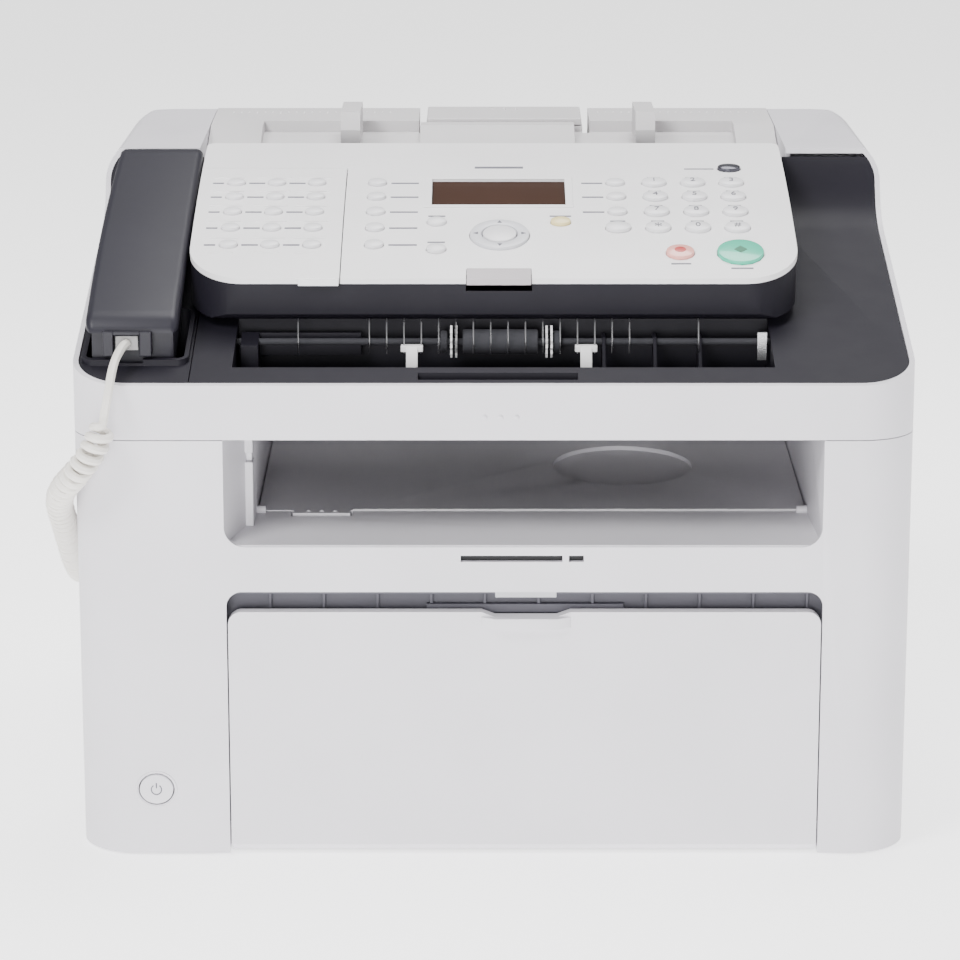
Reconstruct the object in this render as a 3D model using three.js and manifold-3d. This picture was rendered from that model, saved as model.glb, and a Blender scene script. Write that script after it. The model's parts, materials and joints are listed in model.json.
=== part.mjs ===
// A desktop laser fax machine with a corded handset, as an assembly of separate pieces.
// Units are millimetres: +X is to the right seen from the front, +Y to the back, +Z up.
// The origin is on the table under the middle of the machine. d is the distance back from the front face.
import * as THREE from "three";
import { mergeVertices } from "three/addons/utils/BufferGeometryUtils.js";
import Module from "manifold-3d";

const wasm = await Module();
wasm.setup();

// ---- driving dimensions ----
const WIDTH = 374; // over the side covers
const DEPTH = 300; // front face to rear face, without the handle and the rear hatch
const LIP = 4; // how far the door handle and the rear hatch stand out
const SEAM = 193; // height of the joint between the base and the upper unit
const SKIRT = 1.5; // clearance under the covers
const CORNER = 26; // radius of the upright corners
const WALL = 3; // moulded wall of the base covers
const RIM = 2.4; // moulded wall of the upper cover
const GAP = 0.4; // gap between neighbouring pieces
const CAP_TOP = 299; // height of the rear caps at the back
const CAP_RADIUS = 20; // rounding of the caps' outer edges
const CAP_FRONT = 184; // d where the caps begin
const TRAY_HALF = 141.5; // half the gap between the two caps
const CRADLE_X = -134.5; // seam between the deck and the handset cradle

const DECK_FRONT = 217.5; // height of the deck's front edge
const DECK_SLOPE = 0.27;
const PANEL_FRONT = 51; // d of the control panel's front edge
const PANEL_BACK = 193;
const PANEL_HALF = 138.3;
const PANEL_CORNER = 25;
const PLATE = 2.6; // thickness of the panel plates
const MIDDLE = 2.6; // x of the document path's centre line

const RECESS = { left: -119.5, right: 145.4, floor: 144.4, back: 200 }; // paper output
const SHELF = { left: -107.5, right: 142.5, front: 45, z: 150, slope: 0.05 }; // plate in its floor
const DOOR = { left: -118.4, right: 145.6, bottom: 2.5, top: 114.6 };
const DOOR_PIVOT = { d: 6.5, z: 8.2 };
const DOOR_WAY = { left: -119, right: 146.2, top: 123.8 };
const WELL = { left: -116, right: 124.4, front: 18.8, back: 66, z: 205 }; // document output
const ROLLER = { d: 53, z: 226.5, shaft: 1.6 };
const POWER = { x: -151.8, z: 31.8, rx: 7.6, rz: 6.9 };

const front = -DEPTH / 2;
const back = DEPTH / 2;
const half = WIDTH / 2;
const yAt = (d) => front + d;
const deckZ = (d) => DECK_FRONT + DECK_SLOPE * d;
const panelZ = (d) => 255.9 + 0.4 * (d - PANEL_FRONT) - 0.0008 * (d - PANEL_FRONT) ** 2;
const panelSlope = (d) => 0.4 - 0.0016 * (d - PANEL_FRONT);

// ---- solids ----
// A closed mesh as a solid that can be joined and cut.
function solid(geometry) {
  const bare = geometry.index ? geometry.toNonIndexed() : geometry.clone();
  for (const name of Object.keys(bare.attributes)) {
    if (name !== "position") bare.deleteAttribute(name);
  }
  const merged = mergeVertices(bare, 1e-4);
  const mesh = new wasm.Mesh({
    numProp: 3,
    vertProperties: merged.attributes.position.array,
    triVerts: new Uint32Array(merged.index.array),
  });
  return new wasm.Manifold(mesh);
}

// A solid as a geometry.
function geometryOf(body) {
  const mesh = body.getMesh();
  const geometry = new THREE.BufferGeometry();
  geometry.setAttribute("position", new THREE.BufferAttribute(new Float32Array(mesh.vertProperties), 3));
  geometry.setIndex(new THREE.BufferAttribute(new Uint32Array(mesh.triVerts), 1));
  geometry.computeVertexNormals();
  return geometry;
}

const join = (...bodies) => bodies.reduce((a, b) => a.add(b));
const cut = (body, ...tools) => tools.reduce((a, b) => a.subtract(b), body);

function block(x0, x1, y0, y1, z0, z1) {
  const geometry = new THREE.BoxGeometry(x1 - x0, y1 - y0, z1 - z0);
  geometry.translate((x0 + x1) / 2, (y0 + y1) / 2, (z0 + z1) / 2);
  return solid(geometry);
}

// A block between two distances back from the front face.
const slab = (x0, x1, d0, d1, z0, z1) => block(x0, x1, yAt(d0), yAt(d1), z0, z1);

const shapeOf = (points) => new THREE.Shape(points.map(([u, v]) => new THREE.Vector2(u, v)));

function extrude(shape, depth, segments = 8) {
  return new THREE.ExtrudeGeometry(shape, { depth, bevelEnabled: false, curveSegments: segments });
}

// A plan outline in X and Y, raised from z0 to z1.
function upright(shape, z0, z1, segments = 8) {
  return solid(extrude(shape, z1 - z0, segments).translate(0, 0, z0));
}

// A side profile of [d, z] points, run from x0 to x1.
function across(profile, x0, x1) {
  const geometry = extrude(shapeOf(profile.map(([d, z]) => [yAt(d), z])), x1 - x0);
  const turn = new THREE.Matrix4().makeBasis(
    new THREE.Vector3(0, 1, 0),
    new THREE.Vector3(0, 0, 1),
    new THREE.Vector3(1, 0, 0),
  );
  return solid(geometry.applyMatrix4(turn).translate(x0, 0, 0));
}

// A front outline in X and Z, run back from d0 to d1.
function through(shape, d0, d1, segments = 8) {
  const geometry = extrude(shape, d1 - d0, segments);
  const turn = new THREE.Matrix4().makeBasis(
    new THREE.Vector3(1, 0, 0),
    new THREE.Vector3(0, 0, 1),
    new THREE.Vector3(0, -1, 0),
  );
  return solid(geometry.applyMatrix4(turn).translate(0, yAt(d1), 0));
}

// A rectangle with its own radius at each corner: [low u low v, high u low v, high u high v, low u high v].
function rounded(u0, u1, v0, v1, radii) {
  const [a, b, c, e] = Array.isArray(radii) ? radii : [radii, radii, radii, radii];
  const shape = new THREE.Shape();
  shape.moveTo(u0 + a, v0);
  shape.lineTo(u1 - b, v0);
  if (b) shape.absarc(u1 - b, v0 + b, b, -Math.PI / 2, 0);
  shape.lineTo(u1, v1 - c);
  if (c) shape.absarc(u1 - c, v1 - c, c, 0, Math.PI / 2);
  shape.lineTo(u0 + e, v1);
  if (e) shape.absarc(u0 + e, v1 - e, e, Math.PI / 2, Math.PI);
  shape.lineTo(u0, v0 + a);
  if (a) shape.absarc(u0 + a, v0 + a, a, Math.PI, 1.5 * Math.PI);
  return shape;
}

// A round bar along X, given as [x, radius] steps.
function bar(steps, d, z, segments = 14) {
  const points = [new THREE.Vector2(0, steps[0][0])];
  for (const [x, radius] of steps) points.push(new THREE.Vector2(radius, x));
  points.push(new THREE.Vector2(0, steps[steps.length - 1][0]));
  const geometry = new THREE.LatheGeometry(points, segments);
  return solid(geometry.rotateZ(-Math.PI / 2).translate(0, yAt(d), z));
}

// A tube with flat ends along a smooth curve through the points.
function tube(points, radius, sides, steps) {
  const curve = new THREE.CatmullRomCurve3(points.map((p) => new THREE.Vector3(...p)));
  const ring = Array.from({ length: sides }, (_, i) => {
    const angle = (2 * Math.PI * i) / sides;
    return [radius * Math.cos(angle), radius * Math.sin(angle)];
  });
  return solid(new THREE.ExtrudeGeometry(shapeOf(ring), { steps, extrudePath: curve, bevelEnabled: false }));
}

// The machine's plan outline, moved in by inset.
const plan = (inset) => {
  const r = CORNER - inset;
  return rounded(-half + inset, half - inset, front + inset, back - inset, r);
};

// ---- base ----
const panelRange = (z0, z1, inset) => upright(plan(inset), z0, z1);

function coverRing() {
  return cut(panelRange(SKIRT, SEAM - GAP, 0), panelRange(0, SEAM, WALL));
}

const FRONT_SPLIT = 45;
const REAR_SPLIT = 255;

function outputTub() {
  const { left, right, floor, back: end } = RECESS;
  const top = SEAM - GAP;
  const outline = (grow) =>
    shapeOf([
      [left - grow, yAt(1)],
      [SHELF.left - grow, yAt(38)],
      [SHELF.left - grow, yAt(end + grow)],
      [SHELF.right + grow, yAt(end + grow)],
      [SHELF.right + grow, yAt(38)],
      [right + grow, yAt(1)],
    ]);
  const ledgeZ = SHELF.z - GAP;
  const hollow = across([[-5, floor], [SHELF.front, ledgeZ], [SHELF.front, 120], [end + 9, 120],
    [end + 9, 210], [-5, 210]], -200, 200).intersect(upright(outline(0), 100, 220));
  const notch = slab(-92, -64, SHELF.front - 7, SHELF.front + 1, 143.8, 160);
  const exitSlot = slab(-106, 141, end - 2, end + 5, 166, 182);
  return cut(upright(outline(2.5), floor - WALL, top), hollow, notch, exitSlot);
}

function frontCover() {
  const { left, right, floor } = RECESS;
  const shell = coverRing().intersect(slab(-200, 200, -1, FRONT_SPLIT - GAP, 0, 200));
  const door = through(rounded(DOOR_WAY.left, DOOR_WAY.right, -9, DOOR_WAY.top, [0, 0, 7, 7]), -1, 60);
  const mouth = through(rounded(left, right, floor, 220, [9, 9, 0, 0]), -1, WALL + 1);
  const throat = slab(SHELF.left, SHELF.right, WALL, FRONT_SPLIT, 146, 220);
  const slots = [
    slab(-14.8, 30.4, -1, WALL + 1, 137.6, 140.5),
    slab(33.2, 39.8, -1, WALL + 1, 137.6, 140.5),
  ];
  const keyHole = ovalBar(POWER.x, POWER.z, POWER.rx + 0.6, POWER.rz + 0.6, -1, WALL + 1);
  const { d, z } = DOOR_PIVOT;
  const ears = [
    slab(DOOR_WAY.left - 6, DOOR_WAY.left, 2, 11, 3, 13),
    slab(DOOR_WAY.right, DOOR_WAY.right + 6, 2, 11, 3, 13),
  ];
  const pinHoles = bar([[DOOR_WAY.left - 5, 2.5], [DOOR_WAY.right + 5, 2.5]], d, z, 14);
  const cover = cut(shell, door, mouth, throat, keyHole, ...slots);
  return join(cover, ...ears.map((ear) => ear.subtract(pinHoles)), outputTub());
}

// An oval bar along Y between two distances back from the front face.
function ovalBar(x, z, rx, rz, d0, d1, segments = 20) {
  const shape = new THREE.Shape();
  shape.absellipse(x, z, rx, rz, 0, 2 * Math.PI);
  return through(shape, d0, d1, segments / 2);
}

function sideCover(sign) {
  const shell = coverRing().intersect(slab(-200, 200, FRONT_SPLIT, REAR_SPLIT, 0, 200));
  return shell.intersect(sign < 0 ? slab(-200, 0, 0, 300, 0, 200) : slab(0, 200, 0, 300, 0, 200));
}

function rearCover() {
  const shell = coverRing().intersect(slab(-200, 200, REAR_SPLIT + GAP, 301, 0, 200));
  const hatch = through(rounded(-130, 130, 60, 176, 8), DEPTH - WALL, DEPTH + LIP, 4);
  const vents = Array.from({ length: 6 }, (_, i) => slab(-100, -20, 290, 310, 84 + 12 * i, 89 + 12 * i));
  const inlet = slab(140, 167, 290, 310, 24, 46);
  return cut(join(shell, hatch), inlet, ...vents);
}

function chassis() {
  const floor = panelRange(SKIRT, 4.5, WALL + GAP).intersect(slab(-200, 200, 14, 301, 0, 10));
  const sides = [
    slab(-152, -149.5, 40, 270, 4, 132),
    slab(158, 160.5, 40, 270, 4, 132),
  ];
  const paperBed = slab(-112, 139, 14, 190, 4, 12);
  const feet = [[-165, 36], [165, 36], [-165, 266], [165, 266]].map(([x, d]) =>
    solid(new THREE.CylinderGeometry(9, 9, 3, 16).rotateX(Math.PI / 2).translate(x, yAt(d), 1.5)),
  );
  const shaftHoles = bar([[-160, 3.2], [170, 3.2]], 112, 62);
  return cut(join(floor, paperBed, ...sides, ...feet), shaftHoles);
}

function feedDoor() {
  const { left, right, bottom, top } = DOOR;
  const { d, z } = DOOR_PIVOT;
  const outline = through(rounded(left, right, bottom, top, [1, 1, 6, 6]), 0, 8);
  const section = across([[0, bottom + 3], [3, bottom], [8, bottom], [8, 16], [6, 19], [6, top], [0, top]], -200, 200);
  const face = outline.intersect(section);
  const pull = { left: -5.5, right: 34, z: 112.4 };
  const notch = through(shapeOf([[pull.left, 130], [pull.left, top], [pull.left + 6, pull.z],
    [pull.right - 6, pull.z], [pull.right, top], [pull.right, 130]]), -1, 9);
  const lip = upright(shapeOf([[pull.left, yAt(4)], [pull.left, yAt(-0.5)], [pull.left + 6, yAt(-LIP)],
    [pull.right - 6, yAt(-LIP)], [pull.right, yAt(-0.5)], [pull.right, yAt(4)]]), pull.z - 5, pull.z);
  const pins = bar([[left - 4, 2], [right + 4, 2]], d, z, 12);
  return join(cut(face, notch), lip, pins);
}

function powerButton() {
  return ovalBar(POWER.x, POWER.z, POWER.rx, POWER.rz, -0.2, 8);
}

function tonerCover() {
  const { left, right, front: d0, z, slope } = SHELF;
  const d1 = RECESS.back - 4;
  const top = (d) => z + slope * (d - d0);
  const plate = across([[d0, z - 3], [d0, z], [d1, top(d1)], [d1, top(d1) - 3]], left + 0.6, right - 0.6);
  const tab = slab(-91, -65, d0 - 5.5, d0 + 2, z - 3, z);
  const round = new THREE.CylinderGeometry(33, 33, 40, 32).rotateX(Math.PI / 2).translate(61.3, yAt(118), 160);
  const fingerDip = solid(round).intersect(
    across([[80, top(80) - 2], [80, 175], [190, 175], [190, top(190) - 2]], -20, 140),
  );
  return join(plate, tab).subtract(fingerDip);
}

// ---- working parts inside the base ----
function laserUnit() {
  const box = slab(-85, 100, 50, 128, 108, 134);
  const window = slab(-70, 85, 126, 134, 112, 120);
  return join(box, window, slab(-20, 30, 70, 110, 100, 110));
}

function tonerCartridge() {
  const body = across([[140, 100], [140, 122], [150, 132], [196, 132], [214, 118], [214, 92], [200, 84],
    [176, 84], [160, 92]], -110, 126);
  const drum = bar([[-108, 12], [124, 12]], 186, 80, 20);
  return join(body, drum);
}

function fixingUnit() {
  const frame = across([[224, 88], [224, 140], [236, 158], [276, 158], [284, 148], [284, 88]], -120, 130);
  return frame.subtract(slab(-105, 115, 240, 262, 80, 170));
}

function pickupRoller() {
  return bar([[-147, 2.8], [-12, 2.8], [-12, 15], [34, 15], [34, 2.8], [156, 2.8]], 112, 62, 18);
}

function mainBoard() {
  const board = slab(166, 168, 60, 240, 20, 170);
  const parts = [
    slab(168, 176, 80, 120, 100, 140),
    slab(168, 181, 150, 185, 40, 70),
    slab(168, 174, 190, 230, 120, 150),
  ];
  return join(board, ...parts);
}

// ---- upper unit ----
const CAP_RISE = [[158, deckZ(158)], [167, 264.5], [174, 270], [179, 279], [182, 288], [CAP_FRONT, 295.5]];

function upperProfile(drop) {
  const rise = CAP_RISE.map(([d, z]) => [d, z - drop]);
  return [[0, 150], [0, DECK_FRONT - drop], ...rise, [DEPTH, CAP_TOP - drop], [DEPTH, 150]];
}

const capOutline = (inset) =>
  rounded(-half + inset, half - inset, 100, CAP_TOP + 1 - inset, [0, 0, CAP_RADIUS - inset, CAP_RADIUS - inset]);

function topCover() {
  const outer = panelRange(SEAM, 320, 0)
    .intersect(across(upperProfile(0), -200, 200))
    .intersect(through(capOutline(0), -1, 301));
  const hollow = panelRange(100, 330, RIM)
    .intersect(through(capOutline(RIM), -1, 301))
    .intersect(across([[-1, 100], [-1, 330], [CAP_FRONT - 1, 330], [CAP_FRONT - 1, 293],
      [DEPTH, CAP_TOP - RIM], [DEPTH, 100]], -200, 200));
  const innerWalls = [-1, 1].map((s) => {
    const [a, b] = [s * TRAY_HALF, s * (TRAY_HALF + RIM)].sort((p, q) => p - q);
    return slab(a, b, 186, DEPTH - 1, 240, 320).intersect(outer);
  });
  const trayWay = slab(-TRAY_HALF, TRAY_HALF, 100, 305, 240, 330);
  const hingeHoles = bar([[-150, 3.2], [150, 3.2]], PANEL_PIVOT.d, PANEL_PIVOT.z, 14);
  const jack = slab(-200, -150, JACK.d - 6, JACK.d + 6, JACK.z - 5, JACK.z + 5);
  return cut(join(outer.subtract(hollow), ...innerWalls), trayWay, hingeHoles, jack);
}

const PANEL_PIVOT = { d: 190.6, z: 284 };
const JACK = { d: 160, z: 207 };

// The dark top skin inside the white rim, between two x limits.
function deckSkin(x0, x1) {
  const inset = RIM + 0.3;
  const top = 0.8;
  const rise = CAP_RISE.slice(0, -1).map(([d, z]) => [d, z - top]);
  const under = CAP_RISE.slice(0, -1).reverse().map(([d, z]) => [d + 3, z - top - 3.4]);
  const profile = [[2, DECK_FRONT - top - 3], [2, deckZ(2) - top], ...rise, [182.3, 291.5], [184, 291],
    ...under];
  const inside = panelRange(150, 320, inset).intersect(through(capOutline(inset), -1, 301));
  return across(profile, x0, x1).intersect(inside);
}

function topDeck() {
  const skin = deckSkin(CRADLE_X + GAP, 190);
  const { left, right, front: d0, back: d1, z } = WELL;
  const wellTop = deckZ(d0) - 1;
  const wellOuter = across([[d0 - 2, z - 2], [d0 - 2, wellTop - 1], [d1 + 2, deckZ(d1) - 2.5], [d1 + 2, z - 2]],
    left - 2, right + 2);
  const wellInner = slab(left, right, d0, d1, z, 260);
  const stopSlot = slab(-33.6, 37, 7.2, 13.7, 200, 260);
  const sensorWay = slab(-113, 118, 102, 122, 200, 300);
  const trayWay = slab(-RISER_X, RISER_X, 157, 200, 200, 320);
  const shaftHoles = bar([[left - 5, 2.2], [right + 5, 2.2]], ROLLER.d, ROLLER.z, 12);
  return cut(join(skin, wellOuter), wellInner, stopSlot, sensorWay, trayWay, shaftHoles);
}

const RISER_X = 139.6; // the wall behind the deck stops here, beside the panel
const CUP = { x0: -181, x1: -137.5, d0: 22, d1: 72, z: 213 }; // well for the mouthpiece

function handsetCradle() {
  const skin = deckSkin(-190, CRADLE_X);
  const { x0, x1, d0, d1, z } = CUP;
  const cupShape = (grow) =>
    rounded(x0 - grow, x1 + grow, yAt(d0 - grow), yAt(d1 + grow), 3 + grow);
  const wall = upright(cupShape(2), z - 2, 250, 5).intersect(
    across([[0, 190], [0, deckZ(0) + 2.4], [100, deckZ(100) + 0.4], [100, 190]], -200, 0),
  );
  const inside = panelRange(150, 320, RIM + 0.3);
  const hookWay = slab(-164.5, -155.5, HOOK.d - 4.5, HOOK.d + 4.5, 200, 300);
  const riserWay = slab(-RISER_X, 0, 157, 200, 200, 320);
  const plugWay = slab(-169.5, -155.5, 15, 26, 223.3, 260);
  return cut(join(skin, wall.intersect(inside)), upright(cupShape(0), z, 320, 5), hookWay, riserWay, plugWay);
}

const HOOK = { d: 146, top: 262.2 };

function hookSwitch() {
  return slab(-164, -156, HOOK.d - 4, HOOK.d + 4, 246, HOOK.top);
}

function documentTray() {
  const side = TRAY_HALF - GAP;
  const crest = (drop) => [[209, 262], [209, 285 - drop], [250, 297.5 - drop], [DEPTH, 299.5 - drop],
    [DEPTH, 240.5]];
  const inner = [[297, 240], [297, 290], [250.5, 287.5], [212, 275], [212, 261]];
  const block1 = across([...crest(0), ...inner], -side, side);
  const pocket = (x0, x1) => slab(x0, x1, 200, 262, 200, 320).subtract(across(crest(5.5), -200, 200));
  const flapBed = slab(-37, 49, 259, 305, 295.2, 320);
  const notches = [slab(-37, -33.5, 259, 305, 280, 320), slab(45.5, 49, 259, 305, 280, 320)];
  const tracks = [slab(-109, -40, 236, 240, 200, 320), slab(45, 114, 236, 240, 200, 320)];
  return cut(block1, pocket(-115, -36), pocket(41, 121), flapBed, ...tracks, ...notches);
}

const GUIDE_OUT = 72.5;

function guide(sign) {
  const x = MIDDLE + sign * GUIDE_OUT;
  const fin = across([[216, 285], [214, 300], [218, 308.5], [256, 308.5], [258, 306], [258, 293.2],
    [250, 292.8]], x - 4.8, x + 4.8);
  const foot = slab(x - 4, x + 4, 236.5, 239.5, 279, 300);
  const clear = across([[200, 250], [200, 283], [250, 292.4], [270, 293], [270, 250]], -200, 200)
    .subtract(slab(-200, 200, 236.5, 239.5, 200, 400));
  return join(fin, foot).subtract(clear);
}

function trayExtension() {
  return across([[263, 295.7], [263, 299], [DEPTH - 1, 300.4], [DEPTH - 0.5, 299], [DEPTH - 1, 295.7]],
    -33, 45);
}

function exitRoller() {
  const { d, z, shaft } = ROLLER;
  const steps = [[WELL.left - 1.5, shaft]];
  const wheels = [[-24, -21, 5], [-14, 20, 5.6], [27, 30, 5]];
  for (const [x0, x1, radius] of wheels) {
    steps.push([x0, shaft], [x0, radius], [x1, radius], [x1, shaft]);
  }
  steps.push([WELL.right + 1.5, shaft]);
  return bar(steps, d, z);
}

function documentStop() {
  return slab(-33, 36.4, 9, 11.6, 196, 216.5);
}

function imageSensor() {
  return across([[102.6, 236], [102.6, 244.4], [121.4, 249.4], [121.4, 236]], -112.4, 117.4);
}

// ---- handset ----
const HANDSET = { x0: -181, x1: -138.6, slope: 0.36 };
const handsetTop = (d) => 242.5 + HANDSET.slope * (d - 22) - 0.0003 * (d - 22) * (d - 176);

const HANDSET_SPLIT = 6; // how far the joint between the two shells is below the back
const HANDSET_STEPS = [25, 50, 80, 110, 140, 173];

function handsetBack() {
  const top = HANDSET_STEPS.map((d) => [d, handsetTop(d)]);
  const under = [...HANDSET_STEPS].reverse().map((d) => [d, handsetTop(d) - HANDSET_SPLIT]);
  const profile = [[21.5, handsetTop(22) - 3], ...top, [176.5, handsetTop(176) - 2],
    [176, handsetTop(176) - HANDSET_SPLIT], ...under, [21.5, handsetTop(22) - HANDSET_SPLIT]];
  return across(profile, HANDSET.x0, HANDSET.x1);
}

function handsetFace() {
  const { x0, x1 } = HANDSET;
  const top = HANDSET_STEPS.map((d) => [d, handsetTop(d) - HANDSET_SPLIT - GAP]);
  const depths = [[172, 24], [128, 24], [118, 14], [70, 14], [64, 30], [30, 30]];
  const bottom = depths.map(([d, drop]) => [d, handsetTop(d) - drop]);
  const body = across([...top, [174, handsetTop(174) - 20], ...bottom, [24.5, handsetTop(30) - 25]], x0 + 2.5,
    x1 - 2.5);
  const socket = slab(-168, -157, 20, 32, 228.7, 235.9);
  return body.subtract(socket);
}

// ---- handset cord: a flat lead, a curly length and a tail to the socket in the upper cover ----
const LEAD = [
  [-162.5, -130.1, 232.3],
  [-163.6, -134, 231.9],
  [-165, -141, 230.2],
  [-166.2, -149, 227.4],
  [-167, -156, 223],
  [-167.8, -160, 217],
  [-169, -161.6, 210.6],
  [-170.2, -162, 204.6],
];
const COIL = [
  [-170.4, -162.2, 203.2],
  [-172.9, -162.4, 195.4],
  [-177, -161.8, 188],
  [-183.4, -157.4, 179.4],
  [-190.4, -145.6, 170],
  [-194.2, -130, 159.6],
  [-194.4, -112, 146.4],
  [-194.4, -94, 132.6],
  [-194.4, -76, 119.6],
  [-194.4, -58, 110],
  [-194.4, -44, 105.6],
];
const TAIL = [
  [-194.3, -42.8, 105.4],
  [-193.6, -30, 105.6],
  [-192.4, -16, 113],
  [-192.2, -5, 129],
  [-192.4, 3, 150],
  [-193.4, 7, 172],
  [-196, 9, 189],
  [-197.6, 10, 200],
  [-194.6, 10, 206.4],
  [-189.6, 10, 207],
];
const CORD = { wire: 2.1, coil: 6.7 };

const cordLead = () => tube(LEAD, CORD.wire, 8, 22);
const cordCoil = () => tube(COIL, CORD.coil, 12, 30);
const cordTail = () => tube(TAIL, CORD.wire, 8, 26);
const handsetPlug = () => block(-167.4, -157.6, -129.2, -118.4, 229.2, 235.4);
const jackPlug = () => block(-189.2, -178, yAt(JACK.d - 5), yAt(JACK.d + 5), JACK.z - 4, JACK.z + 4);

// ---- control panel ----
const panelCurve = (drop, d0, d1, steps = 9) =>
  Array.from({ length: steps + 1 }, (_, i) => {
    const d = d0 + ((d1 - d0) * i) / steps;
    return [d, panelZ(d) - drop];
  });

// A skin that follows the panel between two depths below its surface.
function panelSkin(x0, x1, d0, d1, shallow, deep, steps = 9) {
  const top = panelCurve(shallow, d0, d1, steps);
  const bottom = panelCurve(deep, d0, d1, steps).reverse();
  return across([...top, ...bottom], x0, x1);
}

const panelOutline = (inset) =>
  rounded(-PANEL_HALF + inset, PANEL_HALF - inset, yAt(PANEL_FRONT + inset), yAt(PANEL_BACK - inset),
    [PANEL_CORNER - inset, PANEL_CORNER - inset, 4, 4]);

const SPLIT = { x: -69, d: 158.5 }; // corner between the one-touch plate and the main plate
const LCD = { x0: -29, x1: 34, d0: 115, d1: 145 };
const LAMP = { x0: -12.2, x1: 16.8, d: 58.5 };

// Each key: where it is on the panel, its half sizes, and how far it stands out.
const rows = [139.8, 124.4, 109, 93.6, 78.4];
const columns = [75.8, 94.1, 112.3];
const numberNames = [["1", "2", "3"], ["4", "5", "6"], ["7", "8", "9"], ["star", "0", "hash"]];
const singleKeys = numberNames.flatMap((names, row) =>
  names.map((name, column) => ({ name: "key_" + name, x: columns[column], d: rows[row], rx: 5.8, ry: 4.4 })),
);
singleKeys.push(
  { name: "key_clear", x: 57.4, d: rows[3], rx: 5.8, ry: 4.4 },
  { name: "key_start", x: 112.2, d: 71.5, rx: 10.6, ry: 10.3 },
  { name: "key_stop", x: 84.8, d: 71.5, rx: 6.4, ry: 5.8 },
  { name: "key_back", x: -26.2, d: 74.5, rx: 4.4, ry: 3.6 },
  { name: "key_menu", x: -26.2, d: 99, rx: 4.4, ry: 3.6 },
  { name: "key_status", x: 31, d: 99, rx: 4.6, ry: 3.6 },
  { name: "key_energy_saver", x: 112.3, d: 157, rx: 5.4, ry: 3.8 },
);
const NAV = { x: 2.8, d: 87, outer: 13.6, inner: 8.2 };
const groups = {
  one_touch_keys: rows.flatMap((d) => [-121, -102, -83].map((x) => ({ x, d }))),
  function_keys: rows.map((d) => ({ x: -54.6, d })),
  dial_keys: rows.slice(0, 3).map((d) => ({ x: 57.6, d })),
};
const groupSize = {
  one_touch_keys: { rx: 4.1, ry: 2.9 },
  function_keys: { rx: 4.3, ry: 3.4 },
  dial_keys: { rx: 4.4, ry: 3.4 },
};
const KEY = { proud: 1.3, clear: 0.45, flange: 0.7, segments: 14 };

// An oval cap on the panel's surface, from deep below it to high above it.
function cap(rx, ry, deep, high, segments = KEY.segments) {
  return new THREE.CylinderGeometry(1, 1, high + deep, segments)
    .rotateX(Math.PI / 2)
    .scale(rx, ry, 1)
    .translate(0, 0, (high - deep) / 2);
}

// Turns a geometry made around the origin so that it stands on the panel at x and d.
function onPanel(geometry, x, d) {
  return geometry.rotateX(Math.atan(panelSlope(d))).translate(x, yAt(d), panelZ(d));
}

const keyHole = (key, rx, ry) => solid(onPanel(cap(rx + KEY.clear, ry + KEY.clear, 8, 8), key.x, key.d));

function singleKey(rx, ry) {
  const top = solid(cap(rx, ry, 5, KEY.proud));
  const flange = solid(cap(rx + KEY.flange, ry + KEY.flange, 5, -3.6));
  return geometryOf(join(top, flange));
}

function navRing() {
  const top = solid(cap(NAV.outer, NAV.outer, 5, 0.9, 24));
  const flange = solid(cap(NAV.outer + KEY.flange, NAV.outer + KEY.flange, 5, -3.6, 24));
  return geometryOf(join(top, flange).subtract(solid(cap(NAV.inner, NAV.inner, 9, 9, 20))));
}

const okKey = () => geometryOf(solid(cap(NAV.inner - 0.5, NAV.inner - 0.5, 5, 1.5, 20)));

// Keys of one group stand on a common web under the plate.
function keyGroup(name) {
  const { rx, ry } = groupSize[name];
  const keys = groups[name];
  const xs = keys.map((k) => k.x);
  const ds = keys.map((k) => k.d);
  const web = panelSkin(Math.min(...xs) - 5, Math.max(...xs) + 5, Math.min(...ds) - 4, Math.max(...ds) + 4,
    4.6, 5.8, 4);
  return join(web, ...keys.map((k) => solid(onPanel(cap(rx, ry, 5.4, KEY.proud, 12), k.x, k.d))));
}

function plateBody(x0, x1, d0, d1) {
  return panelSkin(x0, x1, d0, d1, 0, PLATE).intersect(upright(panelOutline(0), 200, 330));
}

function groupHoles(name) {
  const { rx, ry } = groupSize[name];
  return groups[name].map((k) => keyHole(k, rx, ry));
}

function panelPlate() {
  const whole = plateBody(-150, 150, PANEL_FRONT, PANEL_BACK);
  const oneTouchBay = slab(-160, SPLIT.x, 40, SPLIT.d, 200, 330);
  const lcdWay = slab(LCD.x0, LCD.x1, LCD.d0, LCD.d1, 200, 330);
  const lampWay = slab(LAMP.x0 - 0.3, LAMP.x1 + 0.3, 40, LAMP.d, 200, 330);
  const navWay = solid(onPanel(cap(NAV.outer + KEY.clear, NAV.outer + KEY.clear, 8, 8, 24), NAV.x, NAV.d));
  const holes = singleKeys.map((k) => keyHole(k, k.rx, k.ry));
  return cut(whole, oneTouchBay, lcdWay, lampWay, navWay, ...holes, ...groupHoles("function_keys"),
    ...groupHoles("dial_keys"));
}

function oneTouchPlate() {
  const plate = plateBody(-150, SPLIT.x - 0.5, PANEL_FRONT, SPLIT.d - 0.5);
  return cut(plate, ...groupHoles("one_touch_keys"));
}

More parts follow.
